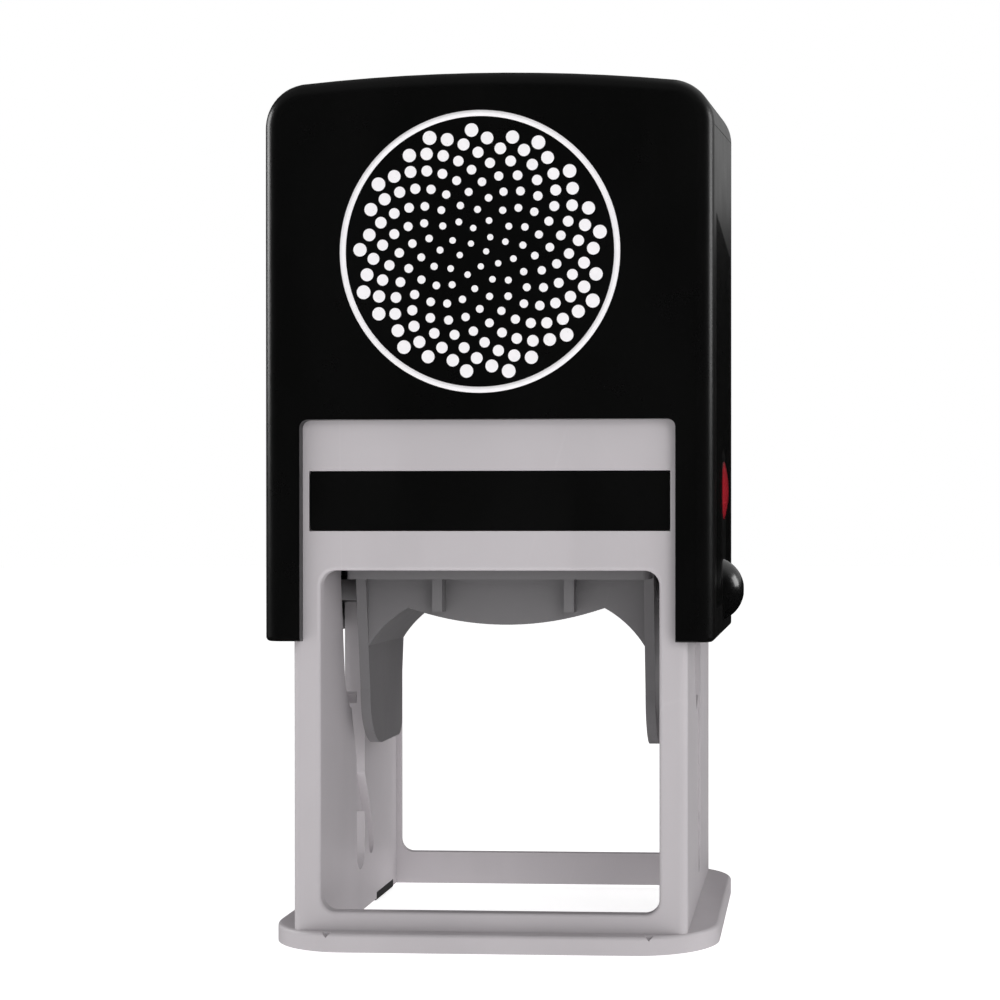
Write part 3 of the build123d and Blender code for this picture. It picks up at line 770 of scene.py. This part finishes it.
class STAMP_OT_felt(StampOperator, bpy.types.Operator):
    """Lay the inked felt in its tray"""

    bl_idname = "stamp.felt"
    bl_label = "Lay the ink felt"

    def execute(self, context):
        soft = context.scene.stamp_soft
        pad = soft_slab(
            "felt_pad", FELT_LOW, FELT_HIGH, cuts=soft.cuts, rounding=soft.felt_rounding,
            pull=soft.felt_pull, barrel=0.0, crown=soft.felt_crown, fuzz=soft.felt_fuzz,
        )
        pad.data.materials.append(finish_for("felt_inked"))
        fit_out(pad, "frame", "felt_inked", "ink_felt")
        return {"FINISHED"}


class STAMP_OT_foam(StampOperator, bpy.types.Operator):
    """Put the foam cushion under the die"""

    bl_idname = "stamp.foam"
    bl_label = "Lay the die's cushion"

    def execute(self, context):
        soft = context.scene.stamp_soft
        pad = soft_slab(
            "die_foam", FOAM_LOW, FOAM_HIGH, cuts=soft.cuts, rounding=soft.foam_rounding,
            pull=0.0, barrel=soft.foam_barrel, crown=0.0, fuzz=soft.foam_fuzz,
        )
        pad.data.materials.append(finish_for("cushion_foam"))
        fit_out(pad, "platen_carrier", "cushion_foam", "die_cushion")
        return {"FINISHED"}


class STAMP_OT_coil(StampOperator, bpy.types.Operator):
    """Wind the return spring"""

    bl_idname = "stamp.coil"
    bl_label = "Wind the return spring"

    def execute(self, context):
        coil = context.scene.stamp_coil
        radius = (COIL_HIGH.x - COIL_LOW.x) / 2 - coil.wire / 2
        wound = grow(
            "return_coil",
            coil_tree(),
            {
                "Turns": coil.turns,
                "Steps": round(coil.turns * coil.steps_per_turn) + 1,
                "Mean_Radius": radius,
                "Wire": coil.wire,
                "Height": COIL_HIGH.z - COIL_LOW.z,
                "Centre": (0.0, 0.0, COIL_LOW.z),
                "Turn": (0.0, 0.0, 0.0),
                "Material": finish_for("spring_steel"),
            },
        )
        for face in wound.data.polygons:
            face.use_smooth = True
        fit_out(wound, "frame", "spring_steel", "return_spring")
        left = 1 - CAP_TRAVEL / (COIL_HIGH.z - COIL_LOW.z)
        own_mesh(wound)
        return {"FINISHED"}


def floor_finish(stage):
    """Matt white sweep that shines a little, so that it stays as pale as the room."""
    material, bench = start_finish("studio_floor")
    surface = bench.node(
        "ShaderNodeBsdfPrincipled",
        {},
        {
            "Base Color": (0.9, 0.9, 0.9, 1.0),
            "Roughness": 0.9,
            "Emission Color": (1.0, 1.0, 1.0, 1.0),
            "Emission Strength": stage.floor_glow,
        },
    )
    bench.node("ShaderNodeOutputMaterial", {}, {"Surface": surface})
    return material


def white_room(stage):
    """White to the eye, even light on matt surfaces; shiny ones see the dark, a card behind
    on the right and a dim ceiling."""
    world = bpy.data.worlds.new("studio")
    bpy.context.scene.world = world
    world.use_nodes = True
    world.node_tree.nodes.clear()
    bench = Bench(world.node_tree)
    right, behind, up = bench.split(bench.node("ShaderNodeTexCoord", output="Generated"))
    path = bench.node("ShaderNodeLightPath").socket.node
    seen = Value(bench, path.outputs["Is Camera Ray"])
    shiny = Value(bench, path.outputs["Is Glossy Ray"])
    card_foot = ramp(bench, up, 0.15, 0.17)
    card = ramp(bench, right, 0.0, 0.03) * ramp(bench, behind, -0.3, 0.3) * card_foot
    overhead = ramp(bench, up, 0.45, 0.8)
    mirror = card * stage.card_tone + overhead * stage.ceiling_tone + stage.dark_tone
    matt = stage.daylight * (1 - shiny) + mirror * shiny
    tone = matt * (1 - seen) + seen
    background = bench.node("ShaderNodeBackground", {}, {"Color": bench.vector(tone, tone, tone)})
    bench.node("ShaderNodeOutputWorld", {}, {"Surface": background})


# Name, place in metres, side in metres, power in watts, and whether shiny surfaces show it
LAMPS = (
    ("key_light", (0.4, -0.8, 0.3), 0.35, 2.0, False),
    ("left_card", (-0.9, 0.15, 0.35), 0.4, 3.0, True),
    ("right_card", (0.9, 0.25, 0.35), 0.4, 2.0, True),
)


def softbox(aim, name, place, size, power, shiny):
    """A square area light that looks at a point."""
    light = bpy.data.lights.new(name, "AREA")
    light.shape = "SQUARE"
    light.size = size
    light.energy = power
    lamp = bpy.data.objects.new(name, light)
    lamp.matrix_world = Matrix.Translation(place) @ (
        (Vector(aim) - Vector(place)).to_track_quat("-Z", "Y").to_matrix().to_4x4()
    )
    lamp.visible_glossy = shiny
    bpy.context.scene.collection.objects.link(lamp)


class STAMP_OT_stage(StampOperator, bpy.types.Operator):
    """Set the floor, the light and the camera"""

    bl_idname = "stamp.stage"
    bl_label = "Set the stage"

    def execute(self, context):
        stage = context.scene.stamp_stage
        bm = bmesh.new()
        bmesh.ops.create_circle(bm, cap_ends=True, segments=96, radius=stage.floor_radius)
        mesh = bpy.data.meshes.new("studio_floor")
        bm.to_mesh(mesh)
        bm.free()
        floor = link("studio_floor", mesh)
        floor.location.z = CAD_BOX[0].z - stage.floor_drop
        floor.visible_glossy = False
        mesh.materials.append(floor_finish(stage))
        white_room(stage)
        middle = (CAD_BOX[0] + CAD_BOX[1]) / 2
        for lamp in LAMPS:
            softbox(middle, *lamp)
        lens = bpy.data.cameras.new("camera")
        lens.lens = stage.lens
        lens.shift_x = stage.shift_x
        lens.shift_y = stage.shift_y
        lens.clip_start = 0.01
        camera = bpy.data.objects.new("camera", lens)
        camera.location = stage.eye
        camera.rotation_euler = (math.pi / 2 - stage.tipped, 0.0, stage.turned)
        context.scene.collection.objects.link(camera)
        context.scene.camera = camera
        context.scene.view_settings.view_transform = "Standard"
        return {"FINISHED"}


# ------------------------------------------------------------------ panel and registration


class STAMP_PT_panel(bpy.types.Panel):
    """The stamp's steps and settings"""

    bl_idname = "STAMP_PT_panel"
    bl_label = "Self-inking stamp"
    bl_space_type = "VIEW_3D"
    bl_region_type = "UI"
    bl_category = "Stamp"

    def draw(self, context):
        for group in SETTINGS:
            box = self.layout.box()
            settings = getattr(context.scene, group)
            for name in settings.bl_rna.properties.keys():
                if name not in ("rna_type", "name"):
                    box.prop(settings, name)
        for operator in OPERATORS:
            self.layout.operator(operator.bl_idname)


SETTINGS = {
    "stamp_finish": StampFinish,
    "stamp_badge": StampBadge,
    "stamp_soft": StampSoft,
    "stamp_coil": StampCoil,
    "stamp_stage": StampStage,
}
OPERATORS = (STAMP_OT_finishes, STAMP_OT_badge, STAMP_OT_felt, STAMP_OT_foam, STAMP_OT_coil, STAMP_OT_stage)
CLASSES = (*SETTINGS.values(), *OPERATORS, STAMP_PT_panel)


def register():
    for one in CLASSES:
        bpy.utils.register_class(one)
    for name, group in SETTINGS.items():
        setattr(bpy.types.Scene, name, PointerProperty(type=group))


def unregister():
    for name in SETTINGS:
        delattr(bpy.types.Scene, name)
    for one in reversed(CLASSES):
        bpy.utils.unregister_class(one)


def main():
    register()
    bpy.ops.stamp.finishes()
    bpy.ops.stamp.badge()
    bpy.ops.stamp.felt()
    bpy.ops.stamp.foam()
    bpy.ops.stamp.coil()
    bpy.ops.stamp.stage()


if __name__ == "__main__":
    main()
